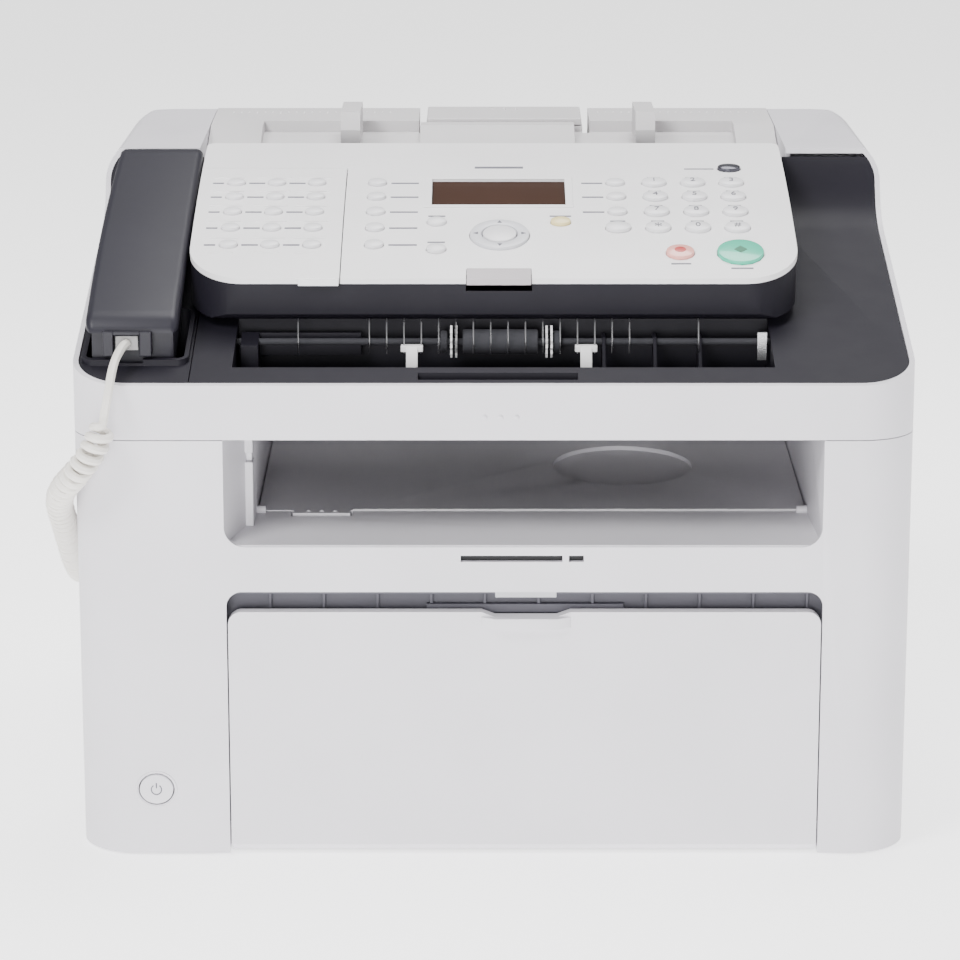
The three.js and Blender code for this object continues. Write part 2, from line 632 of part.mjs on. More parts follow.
function panelCase() {
  const under = (lift) => (d) => [d, deckZ(d) + lift];
  const roof = panelCurve(PLATE + 0.3, PANEL_FRONT, PANEL_BACK);
  const outer = across([...roof, under(4.3)(PANEL_BACK), under(4.3)(56), [52.5, deckZ(56) + 6.5]], -150, 150)
    .intersect(upright(panelOutline(0.5), 200, 330));
  const hollow = across([[0, under(7)(0)[1]], [0, 400], [300, 400], [300, under(7)(300)[1]]], -200, 200)
    .intersect(upright(panelOutline(3), 200, 330));
  const pins = bar([[-143, 2.6], [143, 2.6]], PANEL_PIVOT.d, PANEL_PIVOT.z, 12)
    .subtract(slab(-136, 136, 150, 200, 200, 330));
  const lampWay = slab(LAMP.x0 - 0.4, LAMP.x1 + 0.4, 40, 54, 250, 262);
  return cut(join(outer.subtract(hollow), pins), lampWay);
}

function lcdWindow() {
  return panelSkin(LCD.x0 + 0.3, LCD.x1 - 0.3, LCD.d0 + 0.3, LCD.d1 - 0.3, 1.6, 4.5, 2);
}

function lampWindow() {
  const d1 = LAMP.d - 0.3;
  return across([[d1, panelZ(d1) + 0.5], [d1, panelZ(d1) - 2.4], [PANEL_FRONT + 1.5, 253.5],
    [PANEL_FRONT + 0.1, 252.9], [PANEL_FRONT - 1.2, 252.9], [PANEL_FRONT - 1.2, 256.2]], LAMP.x0, LAMP.x1)
    .subtract(upright(panelOutline(0.1), 240, panelZ(PANEL_FRONT) - PLATE));
}

// ---- assembly ----
const plastic = (color, roughness = 0.45) => new THREE.MeshStandardMaterial({ color, roughness, metalness: 0 });
const materials = {
  white: plastic(0xe4e3e6),
  panel: plastic(0xf2f1f2, 0.35),
  dark: plastic(0x3b3a48, 0.5),
  handset: plastic(0x45444f, 0.5),
  grey: plastic(0x75747c),
  key: plastic(0xf7f6f7, 0.3),
  rubber: plastic(0x34353a, 0.8),
  cord: plastic(0xdcdad6, 0.5),
  black: plastic(0x1b1b1e, 0.5),
  clear: plastic(0xb9b4b6, 0.2),
  lcd: plastic(0x4a3420, 0.15),
  start: plastic(0x8fd6c6, 0.3),
  stop: plastic(0xeec4bf, 0.3),
  status: plastic(0xe6d7a0, 0.3),
  board: plastic(0x2f6b45, 0.6),
  metal: new THREE.MeshStandardMaterial({ color: 0xb9bbbd, roughness: 0.35, metalness: 1 }),
};
const keyMaterials = {
  key_start: "start",
  key_stop: "stop",
  key_status: "status",
  key_energy_saver: "grey",
};

const machine = new THREE.Group();

function add(name, body, material) {
  const geometry = body.isBufferGeometry ? body : geometryOf(body);
  const mesh = new THREE.Mesh(geometry, materials[material]);
  mesh.name = name;
  machine.add(mesh);
  return mesh;
}

function addKey(name, geometry, x, d, material) {
  const mesh = add(name, geometry, material);
  mesh.rotation.x = Math.atan(panelSlope(d));
  mesh.position.set(x, yAt(d), panelZ(d));
}

add("chassis", chassis(), "grey");
add("front_cover", frontCover(), "white");
add("left_cover", sideCover(-1), "white");
add("right_cover", sideCover(1), "white");
add("rear_cover", rearCover(), "white");
add("feed_door", feedDoor(), "white");
add("power_button", powerButton(), "white");
add("toner_cover", tonerCover(), "white");
add("laser_unit", laserUnit(), "black");
add("toner_cartridge", tonerCartridge(), "black");
add("fixing_unit", fixingUnit(), "metal");
add("pickup_roller", pickupRoller(), "rubber");
add("main_board", mainBoard(), "board");

add("top_cover", topCover(), "white");
add("top_deck", topDeck(), "dark");
add("handset_cradle", handsetCradle(), "dark");
add("hook_switch", hookSwitch(), "black");
add("document_tray", documentTray(), "white");
add("guide_left", guide(-1), "white");
add("guide_right", guide(1), "white");
add("tray_extension", trayExtension(), "white");
add("exit_roller", exitRoller(), "rubber");
add("document_stop", documentStop(), "dark");
add("image_sensor", imageSensor(), "black");

add("handset_back", handsetBack(), "handset");
add("handset_face", handsetFace(), "handset");
add("handset_plug", handsetPlug(), "clear");
add("cord_lead", cordLead(), "cord");
add("cord_coil", cordCoil(), "cord");
add("cord_tail", cordTail(), "cord");
add("jack_plug", jackPlug(), "clear");

add("panel_plate", panelPlate(), "panel");
add("one_touch_plate", oneTouchPlate(), "panel");
add("panel_case", panelCase(), "dark");
add("lcd_window", lcdWindow(), "lcd");
add("lamp_window", lampWindow(), "clear");
for (const { name, x, d, rx, ry } of singleKeys) {
  addKey(name, singleKey(rx, ry), x, d, keyMaterials[name] ?? "key");
}
addKey("key_arrows", navRing(), NAV.x, NAV.d, "key");
addKey("key_ok", okKey(), NAV.x, NAV.d, "key");
for (const name of Object.keys(groups)) add(name, keyGroup(name), "key");

export default machine;
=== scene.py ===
"""A desktop laser fax machine with a corded handset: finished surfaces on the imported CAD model.

Lengths in the helpers below are millimetres and are turned into metres when a mesh is made.
d is the distance back from the machine's front face, as in the part's own source.
"""
import json
import math

import bmesh
import bpy
from mathutils import Matrix, Vector


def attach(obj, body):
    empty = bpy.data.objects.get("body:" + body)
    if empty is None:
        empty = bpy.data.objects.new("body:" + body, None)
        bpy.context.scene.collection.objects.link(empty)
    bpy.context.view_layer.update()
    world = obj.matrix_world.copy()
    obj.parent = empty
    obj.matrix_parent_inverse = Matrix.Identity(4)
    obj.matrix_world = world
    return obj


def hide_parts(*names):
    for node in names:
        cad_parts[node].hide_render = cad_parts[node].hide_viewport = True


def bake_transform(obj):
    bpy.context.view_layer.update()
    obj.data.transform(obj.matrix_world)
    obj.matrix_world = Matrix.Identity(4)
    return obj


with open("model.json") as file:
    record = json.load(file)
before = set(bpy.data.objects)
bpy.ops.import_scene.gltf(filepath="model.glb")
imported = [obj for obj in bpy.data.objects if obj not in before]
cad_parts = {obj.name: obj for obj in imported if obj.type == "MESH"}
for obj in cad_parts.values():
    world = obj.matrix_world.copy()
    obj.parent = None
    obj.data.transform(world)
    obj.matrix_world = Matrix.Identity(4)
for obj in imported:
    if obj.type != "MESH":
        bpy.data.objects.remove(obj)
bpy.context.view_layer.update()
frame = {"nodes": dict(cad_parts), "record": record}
MM = 0.001
FRONT = -150.0  # Y of the machine's front face
PANEL_FRONT = 51  # d of the control panel's front edge
PANEL_HEIGHT = 255.9
PANEL_RISE = 0.4
PANEL_SAG = 0.0008  # how fast the panel's rise eases off toward the back


def y_at(d):
    return FRONT + d


def panel_z(d):
    run = d - PANEL_FRONT
    return PANEL_HEIGHT + PANEL_RISE * run - PANEL_SAG * run ** 2


def panel_slope(d):
    return PANEL_RISE - 2 * PANEL_SAG * (d - PANEL_FRONT)


def on_panel(x, d, lift=0.0):
    """The place and tilt of something that stands on the control panel."""
    place = Matrix.Translation((x, y_at(d), panel_z(d)))
    tilt = Matrix.Rotation(math.atan(panel_slope(d)), 4, "X")
    return place @ tilt @ Matrix.Translation((0, 0, lift))


def circle(sides):
    """The cosine and sine of equal steps round a circle."""
    turns = [2 * math.pi * i / sides for i in range(sides)]
    return [(math.cos(t), math.sin(t)) for t in turns]


def add_object(name, data):
    obj = bpy.data.objects.new(name, data)
    bpy.context.scene.collection.objects.link(obj)
    return obj


def evaluated_mesh(obj):
    """The object's mesh once its modifiers are applied, or its text is filled in."""
    bpy.context.view_layer.update()
    shown = obj.evaluated_get(bpy.context.evaluated_depsgraph_get())
    return bpy.data.meshes.new_from_object(shown)


# ---- materials ----
COLOUR_SCALE = 18  # noise scales, per metre
GLOSS_SCALE = 65
GRAIN_DEPTH = 0.06


def linear(r, g, b):
    """An sRGB colour as the linear values that a shader takes."""
    return tuple((c / 12.92 if c <= 0.04045 else ((c + 0.055) / 1.055) ** 2.4) for c in (r, g, b))


def shader(name, color, roughness, grain=900, bump=0.1, spread=0.05, tint=0.03, **sockets):
    """Moulded surface: a fine grain in relief, and slow changes in colour and gloss."""
    made = bpy.data.materials.new(name)
    made.use_nodes = True
    nodes, links = made.node_tree.nodes, made.node_tree.links
    surface = nodes["Principled BSDF"]
    place = nodes.new("ShaderNodeTexCoord")
    base = linear(*color)

    def noise(scale, detail):
        node = nodes.new("ShaderNodeTexNoise")
        node.inputs["Scale"].default_value = scale
        node.inputs["Detail"].default_value = detail
        links.new(place.outputs["Object"], node.inputs["Vector"])
        return node

    slow = noise(COLOUR_SCALE, 3)
    ramp = nodes.new("ShaderNodeValToRGB")
    low, high = ramp.color_ramp.elements
    low.position, high.position = 0.3, 0.7
    low.color = (*[c * (1 - tint) for c in base], 1)
    high.color = (*[min(1, c * (1 + tint)) for c in base], 1)
    links.new(slow.outputs["Fac"], ramp.inputs["Fac"])
    links.new(ramp.outputs["Color"], surface.inputs["Base Color"])
    gloss = nodes.new("ShaderNodeMapRange")
    gloss.inputs["To Min"].default_value = max(0.02, roughness - spread)
    gloss.inputs["To Max"].default_value = min(1, roughness + spread)
    links.new(noise(GLOSS_SCALE, 2).outputs["Fac"], gloss.inputs["Value"])
    links.new(gloss.outputs["Result"], surface.inputs["Roughness"])
    relief = nodes.new("ShaderNodeBump")
    relief.inputs["Strength"].default_value = bump
    relief.inputs["Distance"].default_value = GRAIN_DEPTH * MM
    links.new(noise(grain, 4).outputs["Fac"], relief.inputs["Height"])
    links.new(relief.outputs["Normal"], surface.inputs["Normal"])
    for socket, value in sockets.items():
        surface.inputs[socket.replace("_", " ")].default_value = value
    return made


looks = {
    "white": shader("white_shell", (0.85, 0.84, 0.862), 0.42, bump=0.16),
    "panel": shader("panel_face", (0.955, 0.948, 0.952), 0.34, grain=1500, bump=0.06),
    "tray": shader("tray_white", (0.82, 0.81, 0.815), 0.46, bump=0.2),
    "dark": shader("slate_shell", (0.105, 0.098, 0.13), 0.55, grain=1100, bump=0.35, tint=0.06,
                   Specular_IOR_Level=0.2),
    "handset": shader("handset_shell", (0.125, 0.12, 0.155), 0.45, grain=1300, bump=0.22, tint=0.05,
                      Specular_IOR_Level=0.3),
    "inner": shader("inner_grey", (0.38, 0.375, 0.41), 0.6, bump=0.25),
    "black": shader("black_moulding", (0.09, 0.09, 0.10), 0.55, bump=0.2, tint=0.08),
    "key": shader("key_white", (0.90, 0.895, 0.905), 0.26, grain=1800, bump=0.03),
    "ring": shader("ring_silver", (0.83, 0.83, 0.85), 0.3, grain=1800, bump=0.03),
    "start": shader("start_green", (0.22, 0.74, 0.61), 0.25, grain=1800, bump=0.02, Coat_Weight=0.4),
    "stop": shader("stop_pink", (0.93, 0.66, 0.62), 0.25, grain=1800, bump=0.02, Coat_Weight=0.4),
    "red": shader("mark_red", (0.72, 0.16, 0.14), 0.3, bump=0.02),
    "green": shader("mark_green", (0.05, 0.42, 0.30), 0.3, bump=0.02),
    "status": shader("status_yellow", (0.90, 0.84, 0.62), 0.25, bump=0.02),
    # painted shade: the energy saver key's dark grey stands in for the shade in the hollow the key sits in
    "energy_key_shade": shader("energy_key_painted_shade", (0.30, 0.30, 0.33), 0.2, bump=0.02, Metallic=0.7),
    "ink": shader("printed_ink", (0.36, 0.36, 0.40), 0.5, bump=0.02),
    "pale_ink": shader("pale_ink", (0.42, 0.42, 0.46), 0.5, bump=0.02),
    "rubber": shader("roller_rubber", (0.20, 0.20, 0.22), 0.82, grain=700, bump=0.5, tint=0.1),
    "metal": shader("steel", (0.74, 0.74, 0.75), 0.28, grain=2500, bump=0.05, Metallic=1.0),
    "cord": shader("cord_sleeve", (0.90, 0.885, 0.86), 0.4, grain=1600, bump=0.08, tint=0.04),
    "clear": shader("clear_plug", (0.82, 0.81, 0.81), 0.12, bump=0.03, Transmission_Weight=0.55),
    "glass": shader("display_glass", (0.20, 0.11, 0.06), 0.3, bump=0.01, spread=0.02, tint=0.12,
                    Specular_IOR_Level=0.12),
    "display": shader("display_cell", (0.20, 0.165, 0.13), 0.2, grain=3000, bump=0.05),
    "lamp": shader("lamp_lens", (0.80, 0.77, 0.785), 0.2, bump=0.03, Transmission_Weight=0.25),
    "board": shader("circuit_board", (0.13, 0.36, 0.22), 0.45, grain=600, bump=0.2),
}


# ---- meshes ----
BEVEL_ANGLE = 33  # edges sharper than this many degrees are rounded
MERGE = 0.02  # corners of a CAD mesh closer than this are one
FLAT = 0.6  # faces within this many degrees are one


class Kit:
    """Collects closed shapes in millimetres and turns them into one piece."""

    def __init__(self):
        self.bm = bmesh.new()

    def loft(self, rings, hollow=False):
        """A skin over rings of points, capped at its ends, or joined end to end when hollow."""
        rows = [[self.bm.verts.new(Vector(p)) for p in ring] for ring in rings]
        following = rows[1:] + rows[:1] if hollow else rows[1:]
        for a, b in zip(rows, following):
            for i in range(len(a)):
                j = (i + 1) % len(a)
                self.bm.faces.new((a[i], a[j], b[j], b[i]))
        if not hollow:
            self.bm.faces.new(rows[0][::-1])
            self.bm.faces.new(rows[-1])
        return self

    def box(self, x0, x1, d0, d1, z0, z1, tilt=None):
        """A box; with tilt it is in that frame's own X, Y and Z instead of the machine's."""
        corners = [(x0, d0), (x1, d0), (x1, d1), (x0, d1)]
        rings = [[Vector((x, y_at(d), z)) for x, d in corners] for z in (z0, z1)]
        if tilt:
            rings = [[tilt @ Vector((x, d, z)) for x, d in corners] for z in (z0, z1)]
        return self.loft(rings)

    def prism(self, profile, x0, x1):
        """An outline in d and Z, drawn out along X."""
        return self.loft([[(x, y_at(d), z) for d, z in profile] for x in (x0, x1)])

    def dome(self, rx, ry, place, low, high, crown=0.5, edge=0.5, sides=36):
        """An oval button with a rounded edge and a slightly crowned top."""
        r = max(rx, ry)
        steps = [(1, low), (1, high - edge)]
        for k in (0.35, 0.7, 1.0):
            a = k * math.pi / 2
            steps.append((1 - edge / r * (1 - math.cos(a)), high - edge + edge * math.sin(a)))
        steps += [(0.62, high + crown * 0.62), (0.3, high + crown * 0.92), (0.08, high + crown)]
        rings = []
        for scale, z in steps:
            wide, deep = rx * scale, ry * scale
            rings.append([place @ Vector((wide * c, deep * s, z)) for c, s in circle(sides)])
        return self.loft(rings)

    def ring(self, outer, inner, place, low, high, sides=48):
        """A round ring with softened edges."""
        soft = 0.6
        shoulder = high - 0.2 * soft
        steps = [(inner, low), (inner, high - soft), (inner + 0.4 * soft, shoulder), (inner + soft, high),
                 (outer - soft, high), (outer - 0.4 * soft, shoulder), (outer, high - soft), (outer, low)]
        rings = [[place @ Vector((r * c, r * s, z)) for c, s in circle(sides)] for r, z in steps]
        return self.loft(rings, hollow=True)

    def tube(self, points, radius, sides):
        """A round wire along a line of points."""
        points = [Vector(p) for p in points]
        rings, side = [], None
        for i, p in enumerate(points):
            ahead = points[min(i + 1, len(points) - 1)] - points[max(i - 1, 0)]
            ahead.normalize()
            if side is None:
                side = ahead.orthogonal().normalized()
            side = (side - ahead * side.dot(ahead)).normalized()
            up = ahead.cross(side)
            rings.append([p + side * (radius * c) + up * (radius * s) for c, s in circle(sides)])
        return self.loft(rings)

    def bar(self, steps, d, z, sides=32):
        """A round bar along X, given as [x, radius] steps."""
        y = y_at(d)
        return self.loft([[(x, y + r * c, z + r * s) for c, s in circle(sides)] for x, r in steps])

    def piece(self, name, body, look, bevel=0.0, angle=38, stands_for=()):
        mesh = bpy.data.meshes.new(name)
        bmesh.ops.recalc_face_normals(self.bm, faces=self.bm.faces)
        bmesh.ops.scale(self.bm, vec=(MM, MM, MM), verts=self.bm.verts)
        self.bm.to_mesh(mesh)
        self.bm.free()
        return settle(name, mesh, body, look, bevel, angle, stands_for)


def settle(name, mesh, body, look, bevel=0.0, angle=38, stands_for=()):
    """Rounds a mesh's edges, smooths its curved faces and fixes it to a body."""
    mesh.shade_smooth()
    mesh.set_sharp_from_angle(angle=math.radians(angle))
    obj = add_object(name, mesh)
    if bevel:
        rounder = obj.modifiers.new("round", "BEVEL")
        rounder.width, rounder.segments = bevel * MM, 3
        rounder.limit_method, rounder.angle_limit = "ANGLE", math.radians(BEVEL_ANGLE)
        rounder.use_clamp_overlap = True
        rounder.harden_normals = True
        rounded = evaluated_mesh(obj)
        obj.modifiers.clear()
        obj.data = rounded
    obj.data.materials.clear()
    obj.data.materials.append(looks[look])
    if body:
        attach(obj, body)
    if stands_for:
        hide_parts(*stands_for)
    return obj


bodies = frame["record"]["behaviour"]["bodies"]
body_of = {node: body for body, nodes in bodies.items() for node in nodes}


def refine(node, look, bevel=0.5):
    """A finer copy of a CAD piece: the same shape with softened edges and smooth curves."""
    mesh = frame["nodes"][node].data.copy()
    bm = bmesh.new()
    bm.from_mesh(mesh)
    bmesh.ops.remove_doubles(bm, verts=bm.verts, dist=MERGE * MM)
    bmesh.ops.dissolve_limit(bm, angle_limit=math.radians(FLAT), verts=bm.verts, edges=bm.edges)
    bm.to_mesh(mesh)
    bm.free()
    return settle(node + "_skin", mesh, body_of[node], look, bevel, 40, (node,))


def words(text, name, body, look, place, size, depth=0.12):
    """Raised generic characters, such as the digits on keys."""
    curve = bpy.data.curves.new(name, "FONT")
    curve.body, curve.size, curve.extrude = text, size * MM, depth * MM
    curve.align_x, curve.align_y = "CENTER", "CENTER"
    obj = add_object(name, curve)
    where = place.copy()
    where.translation *= MM
    obj.matrix_world = where
    mesh = evaluated_mesh(obj)
    mesh.transform(where)
    bpy.data.objects.remove(obj)
    return settle(name, mesh, body, look)


# ---- camera ----
CAMERA_PLACE = (-0.0062, -1.65, 0.5393)
CAMERA_DOWN = 13.65  # degrees below level
FOCAL_LENGTH, SENSOR = 131.4, 36
lens = bpy.data.cameras.new("camera")
lens.lens, lens.sensor_width = FOCAL_LENGTH, SENSOR
lens.clip_end = 20
camera = add_object("camera", lens)
camera.location = CAMERA_PLACE
camera.rotation_euler = (math.radians(90 - CAMERA_DOWN), 0, 0)
bpy.context.scene.camera = camera

# ---- handset cord: from the handset's plug down round the corner and back to the socket ----
WIRE = 2.0  # the wire's radius
HELIX = 4.7  # the coil's radius, to the wire's centre
PITCH = 4.9
PER_TURN = 16
TAPER = 0.8  # turns over which the coil opens and closes
LEAD = [(-162.5, -130.1, 232.3), (-163.6, -134, 231.9), (-165, -141, 230.2), (-166.2, -149, 227.4),
        (-167, -156, 223), (-167.8, -160, 217), (-169, -161.6, 210.6), (-170.2, -162, 204.6)]
COIL = [(-170.4, -162.2, 203.2), (-172.9, -162.4, 195.4), (-177, -161.8, 188), (-183.4, -157.4, 179.4),
        (-190.4, -145.6, 170), (-194.2, -130, 159.6), (-194.4, -112, 146.4), (-194.4, -94, 132.6),
        (-194.4, -76, 119.6), (-194.4, -58, 110), (-194.4, -44, 105.6)]
TAIL = [(-194.3, -42.8, 105.4), (-193.6, -30, 105.6), (-192.4, -16, 113), (-192.2, -5, 129),
        (-192.4, 3, 150), (-193.4, 7, 172), (-196, 9, 189), (-197.6, 10, 200), (-194.6, 10, 206.4), (-189.6, 10, 207)]


def smooth_line(points, per=12):
    """Points along a Catmull-Rom curve."""
    points = [Vector(p) for p in points]
    padded = [2 * points[0] - points[1], *points, 2 * points[-1] - points[-2]]
    line = []
    for a, b, c, e in zip(padded, padded[1:], padded[2:], padded[3:]):
        for k in range(per):
            t = k / per
            square = (2 * a - 5 * b + 4 * c - e) * t * t
            line.append(0.5 * (2 * b + (c - a) * t + square + (3 * b - a - 3 * c + e) * t ** 3))
    return [*line, points[-1]]


def lengths(line):
    """The distance along a line at each of its points."""
    total = [0.0]
    for a, b in zip(line, line[1:]):
        total.append(total[-1] + (b - a).length)
    return total


def helix(points):
    """A coil round a centre line; its radius opens from nothing and closes to nothing at the ends."""
    line = smooth_line(points, 40)
    run = lengths(line)
    turns = round(run[-1] / PITCH)
    side = Vector((1, 0, 0))
    out, k = [], 0
    steps = turns * PER_TURN
    for i in range(steps + 1):
        s = run[-1] * i / steps
        while k < len(run) - 2 and run[k + 1] < s:
            k += 1
        t = (s - run[k]) / max(run[k + 1] - run[k], 1e-6)
        centre = line[k].lerp(line[k + 1], t)
        ahead = (line[k + 1] - line[k]).normalized()
        side = (side - ahead * side.dot(ahead)).normalized()
        turn = 2 * math.pi * i / PER_TURN
        ends = min(1, s / (TAPER * PITCH), (run[-1] - s) / (TAPER * PITCH))
        r = HELIX * math.sin(ends * math.pi / 2)
        out.append(centre + (side * math.cos(turn) + ahead.cross(side) * math.sin(turn)) * r)
    return out


route = smooth_line(LEAD, 6)[:-1] + helix(COIL)[3:-3] + smooth_line(TAIL, 6)[2:]
for _ in range(2):  # eases the lead and the tail into the coil
    inner = [(a + 2 * b + c) / 4 for a, b, c in zip(route, route[1:], route[2:])]
    route = [route[0], *inner, route[-1]]
cord = Kit().tube(route, WIRE, 8).piece("handset_cord", None, "cord")
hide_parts("cord_lead", "cord_coil", "cord_tail")

# ---- carried-over CAD pieces ----
SKINS = {
    "front_cover": ("white", 0.6), "left_cover": ("white", 0.4), "right_cover": ("white", 0.4),
    "rear_cover": ("white", 0.5), "feed_door": ("white", 0.5), "toner_cover": ("white", 0.5),
    "top_cover": ("white", 0.6), "top_deck": ("dark", 0.5), "handset_cradle": ("dark", 0.5),
    "document_tray": ("tray", 0.6), "guide_left": ("tray", 0.7), "guide_right": ("tray", 0.7),
    "tray_extension": ("tray", 0.6), "document_stop": ("dark", 0.3), "panel_plate": ("panel", 0.4),
    "one_touch_plate": ("panel", 0.4), "panel_case": ("dark", 0.6), "lamp_window": ("lamp", 0.5),
    "hook_switch": ("black", 0.6),
}
for node, (look, bevel) in SKINS.items():
    refine(node, look, bevel)
PLAIN = {
    "chassis": "inner", "laser_unit": "black", "toner_cartridge": "black", "fixing_unit": "metal",
    "pickup_roller": "rubber", "main_board": "board", "image_sensor": "black", "handset_plug": "clear",
    "jack_plug": "clear",
}
for node, look in PLAIN.items():
    for slot in frame["nodes"][node].material_slots:
        slot.material = looks[look]

# ---- keys ----
ROWS = [139.8, 124.4, 109, 93.6, 78.4]
COLUMNS = [75.8, 94.1, 112.3]
ONE_TOUCH = (-121, -102, -83)
START = (112.2, 71.5)
STOP = (84.8, 71.5)
CLEAR_X, SIDE_X, STATUS_X = 57.4, -26.2, 31
KEY_FOOT, KEY_TOP = -4, 1.5  # below and above the panel's face
DIGIT_LIFT = 1.98
STAR_DROP = 1.6  # the star is printed high in its letter space
DIGITS = [["1", "2", "3"], ["4", "5", "6"], ["7", "8", "9"], ["star", "0", "hash"]]
for row, names in enumerate(DIGITS):
    for column, name in enumerate(names):
        body = "key_" + name
        x, d = COLUMNS[column], ROWS[row]
        Kit().dome(5.8, 4.6, on_panel(x, d), KEY_FOOT, KEY_TOP).piece(
            body + "_cap", body, "key", stands_for=(body,))
        text = {"star": "*", "hash": "#"}.get(name, name)
        size, drop = (8, STAR_DROP) if name == "star" else (5.2, 0)
        words(text, body + "_digit", body, "ink", on_panel(x, d - drop, DIGIT_LIFT), size)
OTHERS = {
    "key_clear": (CLEAR_X, ROWS[3], 5.8, 4.4, "key"), "key_start": (*START, 10.6, 10.3, "start"),
    "key_stop": (*STOP, 6.4, 5.8, "stop"), "key_back": (SIDE_X, 74.5, 4.4, 3.6, "key"),
    "key_menu": (SIDE_X, 99, 4.4, 3.6, "key"), "key_status": (STATUS_X, 99, 4.6, 3.6, "status"),
    # the energy saver key's cap is dark grey as painted shade for the hollow it sits in
    "key_energy_saver": (112.3, 157, 5.4, 3.8, "energy_key_shade"),
}
for body, (x, d, rx, ry, look) in OTHERS.items():
    Kit().dome(rx, ry, on_panel(x, d), KEY_FOOT, KEY_TOP, 0.6).piece(
        body + "_cap", body, look, stands_for=(body,))
NAV = (2.8, 87)
Kit().ring(13.6, 8.3, on_panel(*NAV), KEY_FOOT, 1.2).piece(
    "arrow_ring", "key_arrows", "ring", stands_for=("key_arrows",))
Kit().dome(7.7, 7.7, on_panel(*NAV), KEY_FOOT, 1.4, 0.5).piece(
    "ok_cap", "key_ok", "key", stands_for=("key_ok",))
GROUPS = {
    "one_touch_keys": ([(x, d) for d in ROWS for x in ONE_TOUCH], 4.1, 3.0),
    "function_keys": ([(-54.6, d) for d in ROWS], 4.3, 3.4),
    "dial_keys": ([(57.6, d) for d in ROWS[:3]], 4.4, 3.4),
}
for body, (places, rx, ry) in GROUPS.items():
    kit = Kit()
    for x, d in places:
        kit.dome(rx, ry, on_panel(x, d), KEY_FOOT, 1.4, 0.4, 0.4, 28)
    kit.piece(body + "_caps", body, "key", stands_for=(body,))


def panel_marks(name, marks):
    """Thin printed bars on the panel: centre x, centre d, width, depth."""
    kit = Kit()
    for x, d, wide, deep in marks:
        kit.box(-wide / 2, wide / 2, -deep / 2, deep / 2, -0.05, 0.12, on_panel(x, d))
    kit.piece(name, "control_panel", "pale_ink")


# arrows on the ring, and the marks on the stop and start keys
kit = Kit()
for k in range(4):
    turn = on_panel(*NAV) @ Matrix.Rotation(k * math.pi / 2, 4, "Z")
    arrow = ((9.9, -1.1), (12.2, 0), (9.9, 1.1))
    kit.loft([[turn @ Vector((*p, z)) for p in arrow] for z in (1.1, 1.3)])
kit.piece("arrow_marks", "key_arrows", "ink")
turn = on_panel(*START) @ Matrix.Rotation(math.pi / 4, 4, "Z")
Kit().box(-2.2, 2.2, -2.2, 2.2, 1.9, 2.16, turn).piece("start_mark", "key_start", "green", bevel=0.05)
Kit().dome(2.6, 2.4, on_panel(*STOP), 1.6, 2.1, 0.05, 0.1, 28).piece("stop_mark", "key_stop", "red")

# labels beside the keys, drawn as plain bars
BAR = 1.2  # a bar's height on the panel
ABOVE = 6.6  # from a key's centre to the bar above it
label_marks = [(x - 9.3, d, 7.6, BAR) for d in ROWS for x in ONE_TOUCH[1:]]
label_marks += [(ONE_TOUCH[0] - 8.6, d, 5.2, BAR) for d in ROWS]
panel_marks("one_touch_labels", label_marks)
panel_marks("function_labels", [(-41.5, d, 13, BAR) for d in ROWS])
panel_marks("dial_labels", [(46.5, d, 10, BAR) for d in ROWS[:3]])
small_labels = [(x, d + ABOVE, 6, 0.9) for d in ROWS[:4] for x in COLUMNS]
small_labels += [(CLEAR_X, ROWS[3] + ABOVE, 7, 0.9), (STOP[0], 62.6, 9, 1), (START[0], 58.9, 10, 1),
                 (SIDE_X, 80.8, 8, 1), (SIDE_X, 105, 8, 1), (STATUS_X, 105, 10, 1),
                 (98, 157, 14, 1), (NAV[0], 158.8, 23, 2.2)]
panel_marks("key_labels", small_labels)

# ridges above each row of one-touch keys
kit = Kit()
for d in [*ROWS, ROWS[-1] - 13]:
    for x in (-124.5, -103.5, -84.5):
        wide = 16 if d > 70 else 12
        kit.box(-wide / 2, wide / 2, -0.5, 0.5, -0.1, 0.45, on_panel(x, d + 6.4))
kit.piece("one_touch_ridges", "control_panel", "panel", bevel=0.2)

# display: a dark sunk window in a thin frame
LCD = {"x0": -29, "x1": 34, "d0": 115, "d1": 145}
mid = ((LCD["x0"] + LCD["x1"]) / 2, (LCD["d0"] + LCD["d1"]) / 2)
half_x, half_d = (LCD["x1"] - LCD["x0"]) / 2 - 0.3, (LCD["d1"] - LCD["d0"]) / 2 - 0.3
place = on_panel(*mid)
Kit().box(-half_x, half_x, -half_d, half_d, -4, -1.2, place).piece(
    "display_pane", "control_panel", "glass", bevel=0.3, stands_for=("lcd_window",))
kit = Kit()
outer_x, outer_d = half_x + 3.6, half_d + 2.6
for x0, x1, d0, d1 in ((-outer_x, outer_x, half_d, outer_d), (-outer_x, outer_x, -outer_d, -half_d),
                       (-outer_x, -half_x, -half_d, half_d), (half_x, outer_x, -half_d, half_d)):
    kit.box(x0, x1, d0, d1, -0.2, 0.35, place)
kit.piece("display_frame", "control_panel", "panel", bevel=0.25)

# ---- handset ----
HANDSET_FRONT, HANDSET_BACK = 22, 176
HANDSET_MIDDLE, HANDSET_REACH = 99, 78  # centre of the sides' bow, and half its length
BACK_DEPTH = 5.8  # how far the back shell comes down over the face


def handset_top(d):
    rise = 0.36 * (d - HANDSET_FRONT)
    return 242.5 + rise - 0.0003 * (d - HANDSET_FRONT) * (d - HANDSET_BACK)


